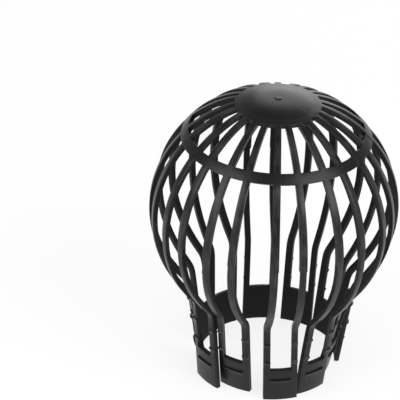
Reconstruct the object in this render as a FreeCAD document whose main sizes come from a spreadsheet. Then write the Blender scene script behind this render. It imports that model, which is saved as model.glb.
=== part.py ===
import FreeCAD, Part
import os

import Sketcher

# Balloon leaf filter for the outlet of a downpipe: a domed cap, a cage of paired ribs held by one belt,
# and a ring of spring feet that push into the pipe. The whole filter is one injection moulding.
# The origin is at the middle of the foot bottoms, +Z points up the axis. Sizes are millimetres and degrees.

SIZES = {
    "foot_count": 12,
    # Balloon
    "ball_radius": 57.5,
    "ball_height": 83.8,
    "wall": 2.3,
    # Cap
    "cap_radius": 20.8,
    "rim_overlap": 0.6,
    "dome_radius": 16.5,
    "brim_rise": 0.5,
    "dome_rise": 3.0,
    # Belt, seen from above
    "belt_radius": 42.1,
    "belt_width": 3.4,
    "belt_sink": 0.15,
    # Ribs: half the angle between the two ribs of a pair, and widths
    "pair_angle": 6.4,
    "rib_width": 3.4,
    "rib_width_below": 3.1,
    # Spring feet
    "neck_radius": 39.8,
    "foot_radius": 36.3,
    "leg_width": 3.0,
    "leg_root": 2.0,
    "plate_height": 17.4,
    # Grip ridges on the outside of the feet
    "ridge_height": 11.7,
    "ridge_pitch": 10.6,
    "ridge_proud": 1.0,
    "ridge_base": 1.6,
    "ridge_width": 10.0,
    "ridge_sink": 0.4,
    # Feet that handling has bent, numbered anticlockwise from +X
    "lean_of_foot_1": 3.0,
    "lean_of_foot_6": 2.5,
    "lean_of_foot_7": 4.5,
    "lean_of_foot_9": 5.5,
    "lean_of_foot_11": 3.0,
    "lean_of_foot_12": 7.0,
    "twist_of_foot_6": -1.6,
    "twist_of_foot_7": 1.6,
    "twist_of_foot_9": -1.8,
    "twist_of_foot_10": 1.6,
    "twist_of_foot_11": 1.4,
    "twist_of_foot_12": 1.6,
}

HALF_PITCH = "180 / sizes.foot_count"
INNER_BALL = "sizes.ball_radius - sizes.wall"
NECK_DEPTH = "sqrt(sizes.ball_radius ^ 2 - sizes.neck_radius ^ 2)"
NECK_HEIGHT = f"sizes.ball_height - {NECK_DEPTH}"
CAP_HEIGHT = "sizes.ball_height + sqrt(sizes.ball_radius ^ 2 - sizes.cap_radius ^ 2)"
BRIM_HEIGHT = f"{CAP_HEIGHT} + sizes.brim_rise"
TOP_HEIGHT = f"{BRIM_HEIGHT} + sizes.dome_rise"
LEG_OFFSET = "sizes.ball_radius * sin(sizes.pair_angle * 1deg)"
LEG_TOP = f"{NECK_HEIGHT} + sizes.leg_root"
LEG_SLOPE = f"(sizes.neck_radius - sizes.foot_radius) / ({NECK_HEIGHT})"

doc = FreeCAD.newDocument("leaf_filter")
sheet = doc.addObject("Spreadsheet::Sheet", "sizes")
for row, (alias, size) in enumerate(SIZES.items(), start=1):
    sheet.set(f"A{row}", alias)
    sheet.set(f"B{row}", str(size))
    sheet.setAlias(f"B{row}", alias)
doc.recompute()


def number(expression):
    """Value of an expression of the sheet, in millimetres or degrees."""
    result = sheet.evalExpression(str(expression))
    return float(getattr(result, "Value", result))


def plane_of(body, role):
    """One of the body's own origin planes or axes, found by its role."""
    return next(feature for feature in body.Origin.OriginFeatures if feature.Role == role)


def pin_corner(sketch, edge, end, corner):
    """Bind one corner's two coordinates to the sheet, or put it on an axis where one is zero."""
    for kind, axis, expression in (("DistanceX", -2, corner[0]), ("DistanceY", -1, corner[1])):
        if expression == "0":
            sketch.addConstraint(Sketcher.Constraint("PointOnObject", edge, end, axis))
            continue
        constraint = Sketcher.Constraint(kind, -1, 1, edge, end, number(expression))
        sketch.setExpression(f"Constraints[{sketch.addConstraint(constraint)}]", expression)


def add_loop(sketch, corners):
    """Closed loop of lines through the corners."""
    places = [FreeCAD.Vector(number(x), number(y), 0) for x, y in corners]
    stops = places[1:] + places[:1]
    edges = [sketch.addGeometry(Part.LineSegment(*ends), False) for ends in zip(places, stops)]
    for edge, following, corner in zip(edges, edges[1:] + edges[:1], corners):
        sketch.addConstraint(Sketcher.Constraint("Coincident", edge, 2, following, 1))
        pin_corner(sketch, edge, 1, corner)


def add_sketch(body, name, role, loops):
    """Sketch in one of the body's origin planes, with the given loops of corners."""
    sketch = body.newObject("Sketcher::SketchObject", name)
    sketch.AttachmentSupport = (plane_of(body, role), "")
    sketch.MapMode = "FlatFace"
    for corners in loops:
        add_loop(sketch, corners)
    return sketch


def turned_ring(body, name, section):
    """Ring or disc turned round the main axis from its section."""
    ring = body.newObject("PartDesign::Revolution", name)
    ring.Profile = add_sketch(body, f"{name}_section", "XZ_Plane", [section])
    ring.ReferenceAxis = (plane_of(body, "Z_Axis"), [""])
    ring.Angle = 360
    return ring


def curved_strip(body, name, slant, middles, width, sweep, upwards):
    """Strips that curve up or down from the balloon's widest height, about a level line across them."""
    loops = []
    for middle in middles:
        outer = f"sqrt(sizes.ball_radius ^ 2 - ({middle}) ^ 2)"
        inner = f"{outer} - sizes.wall"
        loops.append([
            (inner, f"{middle} - {width} / 2"),
            (outer, f"{middle} - {width} / 2"),
            (outer, f"{middle} + {width} / 2"),
            (inner, f"{middle} + {width} / 2"),
        ])
    sketch = add_sketch(body, f"{name}_section", "XY_Plane", loops)
    upright = FreeCAD.Rotation(FreeCAD.Vector(0, 0, 1), 1)
    sketch.AttachmentOffset = FreeCAD.Placement(FreeCAD.Vector(), upright)
    sketch.setExpression("AttachmentOffset.Base.z", "sizes.ball_height")
    sketch.setExpression("AttachmentOffset.Rotation.Angle", f"({HALF_PITCH}) * 1deg + {slant}")
    strip = body.newObject("PartDesign::Revolution", name)
    strip.Profile = sketch
    strip.ReferenceAxis = (sketch, ["V_Axis"])
    strip.Reversed = upwards
    strip.setExpression("Angle", sweep)
    return strip


def build_cage():
    """Cap, belt and ribs. The ribs run straight up to the cap's middle and side by side down to the legs."""
    body = doc.addObject("PartDesign::Body", "cage")
    rim_radius = "sizes.cap_radius + sizes.rim_overlap"
    rim_bottom = f"sizes.ball_height + sqrt(({INNER_BALL}) ^ 2 - ({rim_radius}) ^ 2) - sizes.rim_overlap"
    cap_slope = f"sizes.brim_rise / ({rim_radius} - sizes.dome_radius)"
    cap = [
        ("0", f"{BRIM_HEIGHT} + {cap_slope} * sizes.dome_radius"),
        (rim_radius, CAP_HEIGHT),
        (rim_radius, rim_bottom),
        ("0", f"{TOP_HEIGHT} - sizes.wall"),
    ]
    turned_ring(body, "cap", cap)

    belt = []
    for ball, sides in (
        ("sizes.ball_radius - sizes.belt_sink", ("-", "+")),
        (f"{INNER_BALL} + sizes.belt_sink", ("+", "-")),
    ):
        for side in sides:
            radius = f"sizes.belt_radius {side} sizes.belt_width / 2"
            belt.append((radius, f"sizes.ball_height + sqrt(({ball}) ^ 2 - ({radius}) ^ 2)"))
    turned_ring(body, "belt", belt)

    slant = "sizes.pair_angle * 1deg"
    up = "acos(sizes.cap_radius / sizes.ball_radius)"
    down = f"asin({NECK_DEPTH} / sqrt(sizes.ball_radius ^ 2 - ({LEG_OFFSET}) ^ 2))"
    side_by_side = [LEG_OFFSET, f"-({LEG_OFFSET})"]
    ribs = [
        curved_strip(body, "left_rib", slant, ["0"], "sizes.rib_width", up, True),
        curved_strip(body, "right_rib", f"-({slant})", ["0"], "sizes.rib_width", up, True),
        curved_strip(body, "lower_ribs", "0deg", side_by_side, "sizes.rib_width_below", down, False),
    ]
    pattern = body.newObject("PartDesign::PolarPattern", "rib_pattern")
    pattern.Originals = ribs
    pattern.Axis = (plane_of(body, "Z_Axis"), [""])
    pattern.Angle = 360
    pattern.setExpression("Occurrences", "sizes.foot_count")
    body.Tip = pattern
    return body


def build_dome():
    """Dome of the cap: the top slice of a ball that lies on its side, with its poles away from the dome."""
    ball = doc.addObject("Part::Sphere", "dome_ball")
    radius = "(sizes.dome_radius ^ 2 + sizes.dome_rise ^ 2) / (2 * sizes.dome_rise)"
    ball.setExpression("Radius", radius)
    ball.Placement.Rotation = FreeCAD.Rotation(FreeCAD.Vector(1, 0, 0), 90)
    ball.setExpression("Placement.Base.z", f"{TOP_HEIGHT} - {radius}")
    slab = doc.addObject("Part::Cylinder", "dome_slab")
    slab.setExpression("Radius", "sizes.cap_radius")
    slab.setExpression("Height", "sizes.dome_rise + sizes.wall")
    slab.setExpression("Placement.Base.z", f"{BRIM_HEIGHT} - sizes.rim_overlap / 2")
    dome = doc.addObject("Part::MultiCommon", "dome")
    dome.Shapes = [ball, slab]
    return dome


def face_of_foot(height, offset):
    """Distance from the main axis to the outside of a foot, at a height and an offset from its mid-plane."""
    return f"sqrt((sizes.foot_radius + {LEG_SLOPE} * ({height})) ^ 2 - ({offset}) ^ 2)"


def ridge_corners(height, offset):
    """Grip ridge on the outside of a foot: two slopes that meet in a tip at the given height."""
    bottom = f"{height} - sizes.ridge_base / 2"
    top = f"{height} + sizes.ridge_base / 2"
    return [
        (face_of_foot(bottom, offset), bottom),
        (f"{face_of_foot(height, offset)} + sizes.ridge_proud", height),
        (face_of_foot(top, offset), top),
    ]


def foot_arc(body, name, section, width):
    """Part of a foot that is turned round the main axis, to a width across the foot."""
    arc = body.newObject("PartDesign::Revolution", name)
    arc.Profile = add_sketch(body, f"{name}_section", "XZ_Plane", [section])
    arc.ReferenceAxis = (plane_of(body, "Z_Axis"), [""])
    arc.Midplane = True
    arc.setExpression("Angle", f"2 * asin(({width}) / (2 * sizes.foot_radius))")
    return arc


def build_foot():
    """One spring foot on the +X side: a curved plate, two legs that hold it, and the grip ridges."""
    body = doc.addObject("PartDesign::Body", "foot")
    width = f"2 * ({LEG_OFFSET}) + sizes.leg_width"
    plate_top = face_of_foot("sizes.plate_height", "0")
    plate = [
        ("sizes.foot_radius - sizes.wall", "0"),
        ("sizes.foot_radius", "0"),
        (plate_top, "sizes.plate_height"),
        (f"{plate_top} - sizes.wall", "sizes.plate_height"),
    ]
    foot_arc(body, "plate", plate, width)
    outer, tip, upper = ridge_corners("sizes.ridge_height", "0")
    sunk = [(f"{place[0]} - sizes.ridge_sink", place[1]) for place in (upper, outer)]
    foot_arc(body, "plate_ridge", [outer, tip, upper, *sunk], "sizes.ridge_width")

    profile = [(face_of_foot("sizes.plate_height", LEG_OFFSET), "sizes.plate_height")]
    for step in (1, 2):
        profile += ridge_corners(f"sizes.ridge_height + {step} * sizes.ridge_pitch", LEG_OFFSET)
    profile.append((face_of_foot(LEG_TOP, LEG_OFFSET), LEG_TOP))
    inside = [(f"{place[0]} - sizes.wall", place[1]) for place in (profile[-1], profile[0])]
    legs = body.newObject("PartDesign::Pad", "legs")
    legs.Profile = add_sketch(body, "leg_profile", "XZ_Plane", [profile + inside])
    legs.Midplane = True
    legs.setExpression("Length", width)

    half = f"{LEG_OFFSET} - sizes.leg_width / 2"
    above = f"{LEG_TOP} + sizes.wall"
    opening = [
        (f"-({half})", "sizes.plate_height"),
        (half, "sizes.plate_height"),
        (half, above),
        (f"-({half})", above),
    ]
    window = body.newObject("PartDesign::Pocket", "window")
    window.Profile = add_sketch(body, "window_outline", "YZ_Plane", [opening])
    window.Type = "ThroughAll"
    window.Midplane = True
    body.Tip = window
    return body


def bend(kind, position):
    """Angle of one kind of bend in a foot, zero where the sheet has none."""
    alias = f"{kind}_of_foot_{position}"
    return number(f"sizes.{alias}") if alias in SIZES else 0


def foot_placement(position):
    """Turn a foot to its place round the axis, twisted or leaning in from its neck where it is bent."""
    neck = FreeCAD.Vector(number("sizes.neck_radius"), 0, number(NECK_HEIGHT))
    lean = FreeCAD.Rotation(FreeCAD.Vector(0, 1, 0), bend("lean", position))
    angle = (2 * position - 1) * number(HALF_PITCH) + bend("twist", position)
    turn = FreeCAD.Rotation(FreeCAD.Vector(0, 0, 1), angle)
    return FreeCAD.Placement(FreeCAD.Vector(), turn) * FreeCAD.Placement(FreeCAD.Vector(), lean, neck)


cage = build_cage()
dome = build_dome()
foot = build_foot()
doc.recompute()
feet = []
for position in range(1, int(number("sizes.foot_count")) + 1):
    link = doc.addObject("App::Link", f"foot_{position}")
    link.LinkedObject = foot
    link.Placement = foot_placement(position)
    feet.append(link)

leaf_filter = doc.addObject("Part::MultiFuse", "leaf_filter")
leaf_filter.Label = "leaf_filter"
leaf_filter.Shapes = [cage, dome, *feet]
leaf_filter.Refine = True
doc.recompute()

for item in doc.Objects:
    if {"Invalid", "Error"} & set(item.State):
        raise RuntimeError(f"{item.Name} failed: {item.State}")
shape = leaf_filter.Shape
if shape.isNull() or not shape.isValid() or len(shape.Solids) != 1:
    raise RuntimeError("the filter is not one valid solid")

os.makedirs("parts", exist_ok=True)
shape.exportStep("parts/leaf_filter.step")
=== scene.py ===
import math

import bpy
import numpy as np
from mathutils import Matrix, Vector


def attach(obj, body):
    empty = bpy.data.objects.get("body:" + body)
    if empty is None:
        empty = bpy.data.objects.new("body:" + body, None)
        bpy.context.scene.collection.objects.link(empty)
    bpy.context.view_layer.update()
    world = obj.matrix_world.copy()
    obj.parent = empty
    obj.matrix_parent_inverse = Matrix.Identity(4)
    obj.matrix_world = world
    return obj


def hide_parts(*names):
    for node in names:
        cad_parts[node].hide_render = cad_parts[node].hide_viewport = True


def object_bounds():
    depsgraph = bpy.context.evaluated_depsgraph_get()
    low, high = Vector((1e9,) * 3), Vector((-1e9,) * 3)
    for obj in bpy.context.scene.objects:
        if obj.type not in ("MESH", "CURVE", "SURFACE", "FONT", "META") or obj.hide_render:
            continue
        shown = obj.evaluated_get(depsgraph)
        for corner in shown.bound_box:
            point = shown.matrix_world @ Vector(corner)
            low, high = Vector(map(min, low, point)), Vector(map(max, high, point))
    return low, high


# Balloon leaf filter of black plastic. The whole moulding is one skin: a turned profile from the top of the
# cap down to the feet, split into ribs, belt, legs and plates. Sizes are millimetres until the mesh is made.

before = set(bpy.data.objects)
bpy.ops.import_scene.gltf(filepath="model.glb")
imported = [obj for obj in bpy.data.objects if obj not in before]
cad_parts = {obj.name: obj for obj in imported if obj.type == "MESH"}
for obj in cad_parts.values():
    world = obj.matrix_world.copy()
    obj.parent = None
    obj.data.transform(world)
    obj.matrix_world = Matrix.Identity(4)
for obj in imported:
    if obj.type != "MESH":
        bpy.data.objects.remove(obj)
cad_low, cad_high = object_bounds()

MM = 0.001
FEET = 12
SECTOR = 2 * math.pi / FEET

# Balloon and wall
BALL_RADIUS = 57.5
BALL_HEIGHT = 83.8
WALL = 2.3
TOP_HEIGHT = cad_high.z / MM

# Cap: a brim, a dome on it that falls with a power of the radius, and the gate's nub
CAP_RADIUS = 19.9
DOME_RADIUS = 17.2
DOME_RISE = 2.5
DOME_POWER = 3.0
BRIM_RISE = 0.55
CAP_BLEND = 0.15
NUB_RADIUS = 1.6
NUB_EDGE = 0.48
NUB_RISE = 0.25

# Belt, seen from above
BELT_RADIUS = 42.1
BELT_WIDTH = 3.5

# Ribs: half the angle between the two of a pair, and widths
PAIR_ANGLE = math.radians(6.4)
RIB_WIDTH_AT_CAP = 2.8
RIB_WIDTH = 3.6
RIB_WIDTH_BELOW = 3.1

# Spring feet
NECK_RADIUS = 39.8
NECK_BLEND = 0.7
NECK_TAPER = 4.0
FOOT_RADIUS = 36.3
LEG_WIDTH = 3.1
PLATE_HEIGHT = 17.4

# Grip ridges, one on the plate and two on the legs: the heights of their tips, and how high the ledge above
# and the slope below each tip are
RIDGE_HEIGHTS = (11.9, 22.5, 33.1)
RIDGE_LEDGES = (0.15, 0.6, 0.6)
RIDGE_SLOPE = 1.5
RIDGE_PROUD = 0.8

# Rounded edges, the draft of the mould, and the turn past which an edge is shaded sharp
EDGE_ROUND = 0.2
DRAFT = 0.12
SHARP_TURN = math.radians(50)

# How handling has bent the feet, anticlockwise from +X: the sway of each neck round the axis, how much
# further the foot's bottom has turned, and the lean inwards, all in degrees, and how far each neck is drawn
# in. The sway starts at SWAY_TOP, and the lean sets in over BEND_LENGTH.
NECK_SWAY = (1.2, 0.5, -0.3, 0.4, 0.7, -2.0, 3.0, 0.0, -3.5, 0.8, 1.5, 4.2)
FOOT_TWIST = (3.0, 1.7, 0.0, 0.6, 2.5, -4.0, 2.0, 0.5, -2.7, 3.0, 0.0, -2.2)
FOOT_LEAN = (3.0, 0.0, 0.0, 0.0, 0.0, 2.0, 4.3, 0.0, 5.5, 1.2, 4.0, 7.0)
NECK_DRAW = (0.0, -0.4, 0.0, 0.0, 0.0, 0.0, 0.0, 0.0, 0.9, 0.0, -0.3, 1.5)
SWAY_TOP = 156.0
BEND_LENGTH = 6.0

# Camera and lamps: the camera's turn from the -Y side, and for each lamp the turn from the camera's side and
# the height angle in degrees, the width in metres and the power in watts
CAMERA_TURN = math.radians(9.34)
LAMP_DISTANCE = 1.0
LAMPS = {
    "right_softbox": (50, 36, 0.75, 6.2),
    "left_softbox": (-60, 30, 0.7, 4.9),
    "back_softbox": (168, 20, 0.6, 2.3),
}

NECK_HEIGHT = BALL_HEIGHT - math.sqrt(BALL_RADIUS**2 - NECK_RADIUS**2)
LEG_SLOPE = (NECK_RADIUS - FOOT_RADIUS) / NECK_HEIGHT
LEG_OFFSET = BALL_RADIUS * math.sin(PAIR_ANGLE)

# Rub marks: where the way round starts and ends, at the back, the heights between which they set in above
# the plates, and their share on the belt
GRAIN_SEAM = math.radians(90)
RUB_LOW = 20.0
RUB_HIGH = 50.0
BELT_RUB = 0.6

# Heights of the plain rows between the ridges
PLAIN_ROWS = (37.5, 30.5, 27.5, 20.3, 15.0, 8.0, 4.0)

# Columns of one sector: a rib, the gap in the pair, the other rib, and the gap to the next pair
RIB_SHARES = (0.0, 0.09, 0.5, 0.91)
PAIR_STEPS = 4
SIDE_STEPS = 6
PAIR_GAP = len(RIB_SHARES)
RIGHT_RIB = PAIR_GAP + PAIR_STEPS
SIDE_GAP = RIGHT_RIB + len(RIB_SHARES)
SECTOR_COLUMNS = SIDE_GAP + SIDE_STEPS


def smooth_largest(first, second, blend):
    """Larger of two lengths, with the corner where they cross rounded: the mean plus the root of the squared
    half difference and the squared blend."""
    return (first + second) / 2 + np.sqrt(((first - second) / 2) ** 2 + blend**2)


def smooth_step(share):
    """Rise from 0 to 1 with level ends: three times the square less twice the cube of the share."""
    share = np.clip(share, 0, 1)
    return share * share * (3 - 2 * share)


def cap_height(radius):
    """Height of the outside over a radius: the larger of the dome, which falls with a power of the radius,
    and the brim's cone, cut off by the ball's sphere, with both corners rounded. The gate's nub is added on
    top."""
    cap_edge = BALL_HEIGHT + math.sqrt(BALL_RADIUS**2 - CAP_RADIUS**2)
    dome_top = TOP_HEIGHT - NUB_RISE
    dome = dome_top - DOME_RISE * (radius / DOME_RADIUS) ** DOME_POWER
    brim = cap_edge + BRIM_RISE * np.minimum((CAP_RADIUS - radius) / (CAP_RADIUS - DOME_RADIUS), 1)
    ball = BALL_HEIGHT + np.sqrt(BALL_RADIUS**2 - radius**2)
    outside = -smooth_largest(-smooth_largest(dome, brim, CAP_BLEND), -ball, CAP_BLEND)
    return outside + NUB_RISE * smooth_step((NUB_RADIUS - radius) / NUB_EDGE + 0.5)


def leg_radius(height):
    """Radius of the outside at a height below the balloon's middle: the larger of the ball's circle and the
    slanting line of the legs, with the corner rounded."""
    ball = np.sqrt(np.clip(BALL_RADIUS**2 - (height - BALL_HEIGHT) ** 2, 0, None))
    return smooth_largest(ball, FOOT_RADIUS + LEG_SLOPE * height, NECK_BLEND)


def profile_rows():
    """Radius and height of every row, from the top of the cap to the foot bottoms: by radius over the cap
    and down to the belt, by latitude round the ball, and by height from the neck down."""
    belt_in = BELT_RADIUS - BELT_WIDTH / 2
    belt_out = BELT_RADIUS + BELT_WIDTH / 2
    cap = np.concatenate([
        [0.0, 0.5 * NUB_RADIUS],
        np.linspace(0.8, 1.2, 5) * NUB_RADIUS,
        [1.25 * NUB_RADIUS, 1.4 * NUB_RADIUS],
        np.linspace(3.0, DOME_RADIUS - 2.0, 9),
        np.linspace(DOME_RADIUS - 1.2, CAP_RADIUS - 0.8, 8),
        [CAP_RADIUS - EDGE_ROUND, CAP_RADIUS],
        np.linspace(CAP_RADIUS + 0.7, CAP_RADIUS + 2.8, 4),
        np.linspace(CAP_RADIUS + 4.5, belt_in - 1.6, 8),
        [belt_in, belt_in + EDGE_ROUND, BELT_RADIUS, belt_out - EDGE_ROUND, belt_out],
    ])
    upper = np.linspace(math.acos(belt_out / BALL_RADIUS), 0, 15)[1:]
    lower_ball = np.linspace(0, -math.radians(36), 13)[1:]
    equator_step = [-0.0015]
    latitudes = np.concatenate([upper, equator_step, lower_ball])
    neck = np.linspace(NECK_HEIGHT + 6.0, NECK_HEIGHT - 4.0, 9)
    ridge_rows = [
        tip + np.array([ledge, 0, -RIDGE_SLOPE / 2, -RIDGE_SLOPE])
        for tip, ledge in zip(RIDGE_HEIGHTS, RIDGE_LEDGES)
    ]
    plate_rows = [PLATE_HEIGHT, PLATE_HEIGHT - EDGE_ROUND, EDGE_ROUND, 0.0]
    feet = np.concatenate([neck, *ridge_rows, PLAIN_ROWS, plate_rows])
    feet = np.sort(feet)[::-1]
    radius = np.concatenate([cap, BALL_RADIUS * np.cos(latitudes), leg_radius(feet)])
    height = np.concatenate([cap_height(cap), BALL_HEIGHT + BALL_RADIUS * np.sin(latitudes), feet])
    return radius, height


def row_normals(radius, height):
    """Outward direction of every row in the profile's plane: the slope of the profile turned a quarter."""
    along = np.concatenate([[0], np.cumsum(np.hypot(np.diff(radius), np.diff(height)))])
    turned = np.stack([-np.gradient(height, along), np.gradient(radius, along)], 1)
    turned[0] = (0, 1)
    return turned / np.linalg.norm(turned, axis=1, keepdims=True)


def rib_edges(radius, height, trim):
    """Angles of a pair's four rib edges from the foot's mid-plane, on every row: a turn plus the arc sine of
    the edge's distance from the turned plane over the radius. Above the balloon's middle a rib lies in its
    own plane through the axis, and below it the two lie side by side with the foot's mid-plane."""
    above = height >= BALL_HEIGHT - 1e-6
    share = np.clip((radius - CAP_RADIUS) / (BALL_RADIUS - CAP_RADIUS), 0, 1)
    upper_width = RIB_WIDTH_AT_CAP + (RIB_WIDTH - RIB_WIDTH_AT_CAP) * share
    to_leg = smooth_step((NECK_HEIGHT - height) / NECK_TAPER + 0.5)
    lower_width = RIB_WIDTH_BELOW + (LEG_WIDTH - RIB_WIDTH_BELOW) * to_leg
    half = np.where(above, upper_width, lower_width) / 2 - trim
    reach = np.maximum(radius, CAP_RADIUS - WALL)
    middle = np.where(above, 0, LEG_OFFSET)
    turn = np.where(above, PAIR_ANGLE, 0)
    outer = turn + np.arcsin((middle + half) / reach)
    inner = turn + np.arcsin((middle - half) / reach)
    return np.stack([-outer, -inner, inner, outer], 1)


def column_angles(edges):
    """Angle of every column on every row, all the way round: shares of the four bands between rib edges."""
    bands = np.concatenate([edges, edges[:, :1] + SECTOR], 1)
    pair_shares = np.arange(PAIR_STEPS) / PAIR_STEPS
    side_shares = np.arange(SIDE_STEPS) / SIDE_STEPS
    shares = (RIB_SHARES, pair_shares, RIB_SHARES, side_shares)
    sector = np.concatenate([
        bands[:, band, None] + (bands[:, band + 1] - bands[:, band])[:, None] * np.array(steps)
        for band, steps in enumerate(shares)
    ], 1)
    feet = (np.arange(FEET) + 0.5) * SECTOR
    return (sector[:, None, :] + feet[None, :, None]).reshape(len(edges), -1)


def kept_cells(radius, height):
    """True for every cell of the grid that is plastic: the whole cap, the ribs and legs, the belt and the
    plates."""
    column = np.arange(FEET * SECTOR_COLUMNS) % SECTOR_COLUMNS
    rib = (column < PAIR_GAP) | ((column >= RIGHT_RIB) & (column < SIDE_GAP))
    pair = (column >= PAIR_GAP) & (column < RIGHT_RIB)
    middle_radius = (radius[1:] + radius[:-1]) / 2
    middle_height = (height[1:] + height[:-1]) / 2
    top = middle_height > BALL_HEIGHT
    cap = top & (middle_radius < CAP_RADIUS)
    belt = top & (np.abs(middle_radius - BELT_RADIUS) < BELT_WIDTH / 2)
    plate = middle_height < PLATE_HEIGHT
    return rib[None, :] | (cap | belt)[:, None] | (plate[:, None] & pair[None, :])


def border_points(kept):
    """True for every grid point that touches both plastic and a gap."""
    below = np.concatenate([kept, np.zeros_like(kept[:1])])
    above = np.concatenate([kept[:1], kept])
    cells = np.stack([below, np.roll(below, 1, 1), above, np.roll(above, 1, 1)])
    return cells.any(0) & ~cells.all(0)


def ridge_offsets(height):
    """Outward offset of the grip ridges: a straight slope out to the tip, and a ledge back to the wall above
    it."""
    column = np.arange(FEET * SECTOR_COLUMNS) % SECTOR_COLUMNS
    on_plate = (column >= PAIR_GAP) & (column <= RIGHT_RIB)
    on_leg = (column <= PAIR_GAP) | ((column >= RIGHT_RIB) & (column <= SIDE_GAP))
    offsets = np.zeros((len(height), len(column)))
    for tip, ledge, columns in zip(RIDGE_HEIGHTS, RIDGE_LEDGES, (on_plate, on_leg, on_leg)):
        out = np.interp(height, [tip - RIDGE_SLOPE, tip, tip + ledge], [0, RIDGE_PROUD, 0])
        offsets += out[:, None] * columns[None, :]
    return offsets


def bend_feet(points):
    """Bend the feet as handling has. Sway and draw grow down the ribs to the neck, twist grows down the leg,
    and the lean is a turn about the neck that sets in over a short length."""
    foot = np.arange(points.shape[1]) // SECTOR_COLUMNS
    sway, twist, lean, draw = np.array((NECK_SWAY, FOOT_TWIST, FOOT_LEAN, NECK_DRAW))[:, foot]
    down_rib = smooth_step((SWAY_TOP - points[..., 2]) / (SWAY_TOP - NECK_HEIGHT))
    down_leg = np.clip(1 - points[..., 2] / NECK_HEIGHT, 0, 1)
    past_neck = smooth_step((NECK_HEIGHT - points[..., 2]) / BEND_LENGTH + 0.5)
    turn = (foot + 0.5) * SECTOR
    out = points[..., 0] * np.cos(turn) + points[..., 1] * np.sin(turn) - NECK_RADIUS
    across = points[..., 1] * np.cos(turn) - points[..., 0] * np.sin(turn)
    up = points[..., 2] - NECK_HEIGHT
    tilt = np.radians(lean) * past_neck
    leaned = NECK_RADIUS + out * np.cos(tilt) + up * np.sin(tilt) - draw * down_rib
    height = NECK_HEIGHT + up * np.cos(tilt) - out * np.sin(tilt)
    turned = turn + np.radians(sway * down_rib + twist * down_leg)
    return np.stack([
        leaned * np.cos(turned) - across * np.sin(turned),
        leaned * np.sin(turned) + across * np.cos(turned),
        height,
    ], -1)


def skin_points(radius, height, normals, depth, trim):
    """Points of one skin: every row moved inwards by a depth along its normal, turned round the axis, and
    bent with its foot."""
    moved_radius = radius[:, None] - depth * normals[:, :1]
    moved_height = height[:, None] - depth * normals[:, 1:]
    middle = radius - np.median(depth, 1) * normals[:, 0]
    angles = column_angles(rib_edges(np.maximum(middle, 0), height, trim))
    points = np.stack([moved_radius * np.cos(angles), moved_radius * np.sin(angles), moved_height], -1)
    return bend_feet(points)


def grain_places(radius, height):
    """Place of every grid point for marks that follow the ribs: in metres, the column's place round the
    balloon's widest circle and the way down the profile, and a share of 1 on the outside of the ribs, less
    on the belt, that falls to 0 on the dome and the plates. On the inside the share is -1."""
    widest = np.argmin(np.abs(height - BALL_HEIGHT))
    angles = column_angles(rib_edges(radius, height, 0.0))[widest]
    across = np.mod(angles - GRAIN_SEAM, 2 * math.pi) * BALL_RADIUS * MM
    down = np.concatenate([[0], np.cumsum(np.hypot(np.diff(radius), np.diff(height)))]) * MM
    off_dome = smooth_step((radius - DOME_RADIUS) / (CAP_RADIUS - DOME_RADIUS))
    off_plate = smooth_step((height - RUB_LOW) / (RUB_HIGH - RUB_LOW))
    on_belt = (np.abs(radius - BELT_RADIUS) < BELT_WIDTH) & (height > BALL_HEIGHT)
    share = off_dome * off_plate * np.where(on_belt, BELT_RUB, 1)
    outside = np.stack(np.broadcast_arrays(across[None, :], down[:, None], share[:, None]), -1)
    return np.stack([outside, outside * (1, 1, 0) - (0, 0, 1)])


def rim_faces(kept, index):
    """Quads that join the outer and the inner skin along every edge between plastic and a gap."""
    outer, inner = index
    rows, columns = kept.shape
    here = np.arange(rows)[:, None] * np.ones((1, columns), int)
    left = np.ones((rows, 1), int) * np.arange(columns)[None, :]
    right = (left + 1) % columns
    above = np.concatenate([kept[:1], kept[:-1]])
    below = np.concatenate([kept[1:], np.zeros_like(kept[:1])])
    sides = (
        (kept & ~np.roll(kept, -1, 1), (here, right), (here + 1, right)),
        (kept & ~np.roll(kept, 1, 1), (here + 1, left), (here, left)),
        (kept & ~below, (here + 1, right), (here + 1, left)),
        (kept & ~above, (here, left), (here, right)),
    )
    faces = []
    for edge, start, stop in sides:
        quad = np.stack([outer[start], outer[stop], inner[stop], inner[start]], -1)
        faces.append(quad[edge])
    return np.concatenate(faces)


def skin_faces(kept, index):
    """Quads of one skin over the kept cells, with the first row closed to triangles round the pole."""
    near, far = index[:-1], index[1:]
    quads = np.stack([near, far, np.roll(far, -1, 1), np.roll(near, -1, 1)], -1)
    return quads[0][:, :3], quads[1:][kept[1:]]


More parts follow.
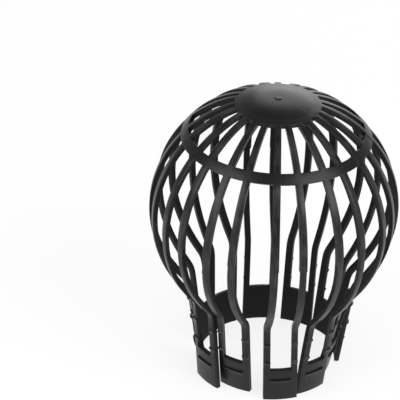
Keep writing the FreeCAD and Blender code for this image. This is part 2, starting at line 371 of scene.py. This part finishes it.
def filter_mesh():
    """The moulding: an outer skin, an inner skin one wall inside it, and rims along every edge. Points on
    an edge are drawn back into the wall, which rounds the edge."""
    radius, height = profile_rows()
    normals = row_normals(radius, height)
    kept = kept_cells(radius, height)
    drawn_back = EDGE_ROUND * border_points(kept)
    outer = skin_points(radius, height, normals, drawn_back - ridge_offsets(height), 0.0)
    inner = skin_points(radius, height, normals, WALL - drawn_back, DRAFT)
    index = np.arange(outer[..., 0].size * 2).reshape(2, *outer.shape[:2])
    index[:, 0, :] = index[:, 0, :1]

    outer_cap, outer_quads = skin_faces(kept, index[0])
    inner_cap, inner_quads = skin_faces(kept, index[1])
    triangles = np.concatenate([outer_cap, inner_cap[:, ::-1]])
    quads = np.concatenate([outer_quads, inner_quads[:, ::-1], rim_faces(kept, index)])
    corners = np.concatenate([triangles.ravel(), quads.ravel()])
    used, renumbered = np.unique(corners, return_inverse=True)
    triangles = renumbered[:triangles.size].reshape(-1, 3)
    quads = renumbered[triangles.size:].reshape(-1, 4)
    points = np.concatenate([outer.reshape(-1, 3), inner.reshape(-1, 3)])[used] * MM
    grain = grain_places(radius, height).reshape(-1, 3)[used]

    mesh = bpy.data.meshes.new("filter_skin")
    mesh.from_pydata(points, [], triangles.tolist() + quads.tolist())
    grain_layer = mesh.attributes.new("grain", "FLOAT_VECTOR", "POINT")
    grain_layer.data.foreach_set("vector", grain.astype(np.float32).ravel())
    mesh.shade_smooth()
    mesh.set_sharp_from_angle(angle=SHARP_TURN)
    mesh.validate()
    return mesh


def black_plastic():
    """Satin black plastic, duller inside: pale rub marks in streaks along the ribs, where a slow drift lets
    them show, drifts of gloss, and a fine grain in its surface."""
    material = bpy.data.materials.new("black_plastic")
    material.use_nodes = True
    nodes, links = material.node_tree.nodes, material.node_tree.links
    shader = nodes["Principled BSDF"]
    shader.inputs["Specular IOR Level"].default_value = 0.3
    place = nodes.new("ShaderNodeTexCoord")
    drift = nodes.new("ShaderNodeTexNoise")
    drift.inputs["Scale"].default_value = 60
    drift.inputs["Detail"].default_value = 4
    links.new(place.outputs["Object"], drift.inputs["Vector"])
    gloss = nodes.new("ShaderNodeMapRange")
    gloss.inputs["To Min"].default_value = 0.26
    gloss.inputs["To Max"].default_value = 0.42
    links.new(drift.outputs["Fac"], gloss.inputs["Value"])

    grain_place = nodes.new("ShaderNodeAttribute")
    grain_place.attribute_name = "grain"
    on_ribs = nodes.new("ShaderNodeSeparateXYZ")
    links.new(grain_place.outputs["Vector"], on_ribs.inputs[0])
    inside = nodes.new("ShaderNodeMapRange")
    inside.inputs["From Min"].default_value = 0
    inside.inputs["From Max"].default_value = -1
    inside.inputs["To Max"].default_value = 0.45
    links.new(on_ribs.outputs["Z"], inside.inputs["Value"])
    dull = nodes.new("ShaderNodeMath")
    links.new(gloss.outputs["Result"], dull.inputs[0])
    links.new(inside.outputs["Result"], dull.inputs[1])
    links.new(dull.outputs[0], shader.inputs["Roughness"])

    stretch = nodes.new("ShaderNodeVectorMath")
    stretch.operation = "MULTIPLY"
    stretch.inputs[1].default_value = (1300, 110, 0)
    links.new(grain_place.outputs["Vector"], stretch.inputs[0])
    streaks = nodes.new("ShaderNodeTexNoise")
    streaks.inputs["Scale"].default_value = 1
    streaks.inputs["Detail"].default_value = 3
    links.new(stretch.outputs["Vector"], streaks.inputs["Vector"])
    rubbed = nodes.new("ShaderNodeMath")
    rubbed.operation = "MULTIPLY"
    links.new(streaks.outputs["Fac"], rubbed.inputs[0])
    links.new(drift.outputs["Fac"], rubbed.inputs[1])
    marks = nodes.new("ShaderNodeMath")
    marks.operation = "MULTIPLY"
    links.new(rubbed.outputs[0], marks.inputs[0])
    links.new(on_ribs.outputs["Z"], marks.inputs[1])
    shade = nodes.new("ShaderNodeValToRGB")
    shade.color_ramp.elements[0].position = 0.2
    shade.color_ramp.elements[0].color = (0.008, 0.008, 0.0083, 1)
    shade.color_ramp.elements[1].position = 0.4
    shade.color_ramp.elements[1].color = (0.05, 0.05, 0.051, 1)
    links.new(marks.outputs[0], shade.inputs["Fac"])
    links.new(shade.outputs["Color"], shader.inputs["Base Color"])

    grain = nodes.new("ShaderNodeTexNoise")
    grain.inputs["Scale"].default_value = 1500
    links.new(place.outputs["Object"], grain.inputs["Vector"])
    bump = nodes.new("ShaderNodeBump")
    bump.inputs["Strength"].default_value = 0.12
    bump.inputs["Distance"].default_value = 0.0002
    links.new(grain.outputs["Fac"], bump.inputs["Height"])
    links.new(bump.outputs["Normal"], shader.inputs["Normal"])
    return material


def white_floor():
    """Plain pale floor. A camera or mirror ray sees it near white, with a faint shadow under the object."""
    material = bpy.data.materials.new("white_floor")
    material.use_nodes = True
    nodes, links = material.node_tree.nodes, material.node_tree.links
    nodes.clear()
    output = nodes.new("ShaderNodeOutputMaterial")
    paint = nodes.new("ShaderNodeBsdfDiffuse")
    paint.inputs["Color"].default_value = (0.8, 0.8, 0.8, 1)
    tint = nodes.new("ShaderNodeBsdfDiffuse")
    tint.inputs["Color"].default_value = (0.25, 0.25, 0.25, 1)
    glow = nodes.new("ShaderNodeEmission")
    glow.inputs["Strength"].default_value = 0.8
    pale = nodes.new("ShaderNodeAddShader")
    links.new(tint.outputs[0], pale.inputs[0])
    links.new(glow.outputs[0], pale.inputs[1])
    path = nodes.new("ShaderNodeLightPath")
    seen = nodes.new("ShaderNodeMath")
    seen.operation = "ADD"
    seen.use_clamp = True
    links.new(path.outputs["Is Camera Ray"], seen.inputs[0])
    links.new(path.outputs["Is Glossy Ray"], seen.inputs[1])
    clear = nodes.new("ShaderNodeMath")
    clear.operation = "ADD"
    clear.use_clamp = True
    links.new(seen.outputs[0], clear.inputs[0])
    links.new(path.outputs["Is Transmission Ray"], clear.inputs[1])
    mix = nodes.new("ShaderNodeMixShader")
    links.new(clear.outputs[0], mix.inputs["Fac"])
    links.new(paint.outputs[0], mix.inputs[1])
    links.new(pale.outputs[0], mix.inputs[2])
    links.new(mix.outputs[0], output.inputs["Surface"])
    return material


def add_floor():
    """Square floor round the object, just under the foot bottoms."""
    half = 12.0
    gap = 0.0002
    corners = [(-half, -half, 0), (half, -half, 0), (half, half, 0), (-half, half, 0)]
    mesh = bpy.data.meshes.new("floor")
    mesh.from_pydata(corners, [], [(0, 1, 2, 3)])
    mesh.materials.append(white_floor())
    floor = bpy.data.objects.new("floor", mesh)
    floor.location.z = -gap
    bpy.context.scene.collection.objects.link(floor)


def pale_surround():
    """World that is palest near the floor and dimmer overhead."""
    world = bpy.data.worlds.new("surround")
    bpy.context.scene.world = world
    world.use_nodes = True
    nodes, links = world.node_tree.nodes, world.node_tree.links
    place = nodes.new("ShaderNodeTexCoord")
    split = nodes.new("ShaderNodeSeparateXYZ")
    links.new(place.outputs["Generated"], split.inputs[0])
    fade = nodes.new("ShaderNodeMapRange")
    fade.interpolation_type = "SMOOTHSTEP"
    fade.inputs["From Min"].default_value = 0.25
    fade.inputs["From Max"].default_value = 0.65
    fade.inputs["To Min"].default_value = 0.4
    fade.inputs["To Max"].default_value = 0.24
    links.new(split.outputs["Z"], fade.inputs["Value"])
    links.new(fade.outputs["Result"], nodes["Background"].inputs["Strength"])
    nodes["Background"].inputs["Color"].default_value = (1, 1, 1, 1)


def add_lights():
    """Soft studio light: a pale surround and large lamps that face the balloon's middle."""
    pale_surround()
    centre = Vector((0, 0, BALL_HEIGHT * MM))
    for name, (turn, rise, width, power) in LAMPS.items():
        turn = math.radians(turn - 90) + CAMERA_TURN
        rise = math.radians(rise)
        lamp = bpy.data.lights.new(name, "AREA")
        lamp.energy = power
        lamp.size = width
        holder = bpy.data.objects.new(name, lamp)
        towards = Vector((math.cos(turn) * math.cos(rise), math.sin(turn) * math.cos(rise), math.sin(rise)))
        holder.location = centre + towards * LAMP_DISTANCE
        holder.rotation_euler = (-towards).to_track_quat("-Z", "Y").to_euler()
        bpy.context.scene.collection.objects.link(holder)


def add_camera():
    """Long lens from the front and above, with a slight roll. The ball's middle lies off the picture's
    middle, by the given shares of the ball's radius to the right, down and away."""
    rise = math.radians(30.65)
    roll = math.radians(1.5)
    offset = (0.592, 0.054, 20.06)
    right = Vector((math.cos(CAMERA_TURN), math.sin(CAMERA_TURN), 0))
    away = Vector((-math.sin(CAMERA_TURN), math.cos(CAMERA_TURN), 0))
    up = Vector((0, 0, 1))
    forward = away * math.cos(rise) - up * math.sin(rise)
    down = -away * math.sin(rise) - up * math.cos(rise)
    across = right * math.cos(roll) - down * math.sin(roll)
    below = right * math.sin(roll) + down * math.cos(roll)
    centre = up * BALL_HEIGHT
    place = centre - BALL_RADIUS * (across * offset[0] + below * offset[1] + forward * offset[2])
    turned = Matrix((across, -below, -forward)).transposed().to_4x4()
    camera = bpy.data.cameras.new("camera")
    camera.lens = 225
    camera.sensor_width = 36
    camera.clip_end = 20
    holder = bpy.data.objects.new("camera", camera)
    holder.matrix_world = Matrix.Translation(place * MM) @ turned
    bpy.context.scene.collection.objects.link(holder)
    bpy.context.scene.camera = holder


mesh = filter_mesh()
mesh.materials.append(black_plastic())
piece = bpy.data.objects.new("leaf_filter_skin", mesh)
bpy.context.scene.collection.objects.link(piece)
even = piece.modifiers.new("even_normals", "WEIGHTED_NORMAL")
even.keep_sharp = True
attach(piece, "root")
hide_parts("leaf_filter")

add_floor()
add_lights()
add_camera()
bpy.context.scene.view_settings.view_transform = "Standard"
